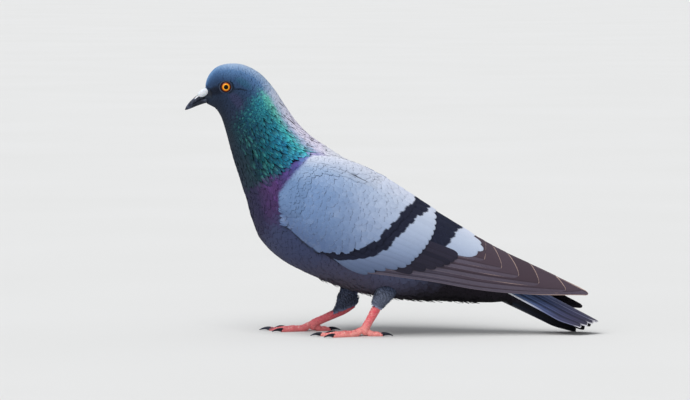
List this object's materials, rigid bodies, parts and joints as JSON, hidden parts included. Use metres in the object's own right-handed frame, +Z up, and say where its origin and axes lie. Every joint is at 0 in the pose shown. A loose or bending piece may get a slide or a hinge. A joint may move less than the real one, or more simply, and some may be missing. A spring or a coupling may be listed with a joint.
{
  "type": "pigeon",
  "caption": "Still, life-size blue-bar pigeon standing on both feet with its neck raised and its wings folded.",
  "frame": {"origin": "on the floor under the soles, midway between the bill's tip and the tail's tip and between the two wings", "axes": "+X towards the tail, so -X is the way the bill points; -Y is the bird's left side; +Z up"},
  "size_m": [0.2897, 0.0926, 0.1893],
  "materials": {
    "head_feathers": "matt feathers, blue-grey",
    "neck_feathers": "glossy feathers, green and purple",
    "body_feathers": "matt feathers, slate grey",
    "wing_coverts": "matt feathers, pale grey with two black bars",
    "wing_secondaries": "matt feathers, black bar and pale tips",
    "wing_primaries": "stiff satin feathers, brown-grey with pale edges",
    "tail_feathers": "stiff satin feathers, dark grey with a black end",
    "thigh_feathers": "short matt feathers, slate",
    "bill_horn": "satin horn, slate black",
    "cere_skin": "powdery white skin",
    "eye_ball": "wet, orange iris and black pupil",
    "leg_skin": "scaly red skin",
    "claw_horn": "satin horn, black"
  },
  "bodies": {
    "root": {"head": "head_feathers", "neck": "neck_feathers", "trunk": "body_feathers", "eye_left": "eye_ball", "eye_right": "eye_ball", "bill_upper": "bill_horn", "bill_lower": "bill_horn", "cere": "cere_skin", "tail": "tail_feathers", "wing_left_coverts": "wing_coverts", "wing_left_secondaries": "wing_secondaries", "wing_left_primaries": "wing_primaries", "wing_right_coverts": "wing_coverts", "wing_right_secondaries": "wing_secondaries", "wing_right_primaries": "wing_primaries", "thigh_left": "thigh_feathers", "thigh_right": "thigh_feathers", "shank_left": "leg_skin", "shank_right": "leg_skin", "foot_left": "leg_skin", "foot_right": "leg_skin", "claw_left_inner": "claw_horn", "claw_left_middle": "claw_horn", "claw_left_outer": "claw_horn", "claw_left_hind": "claw_horn", "claw_right_inner": "claw_horn", "claw_right_middle": "claw_horn", "claw_right_outer": "claw_horn", "claw_right_hind": "claw_horn"}
  },
  "joints": []
}
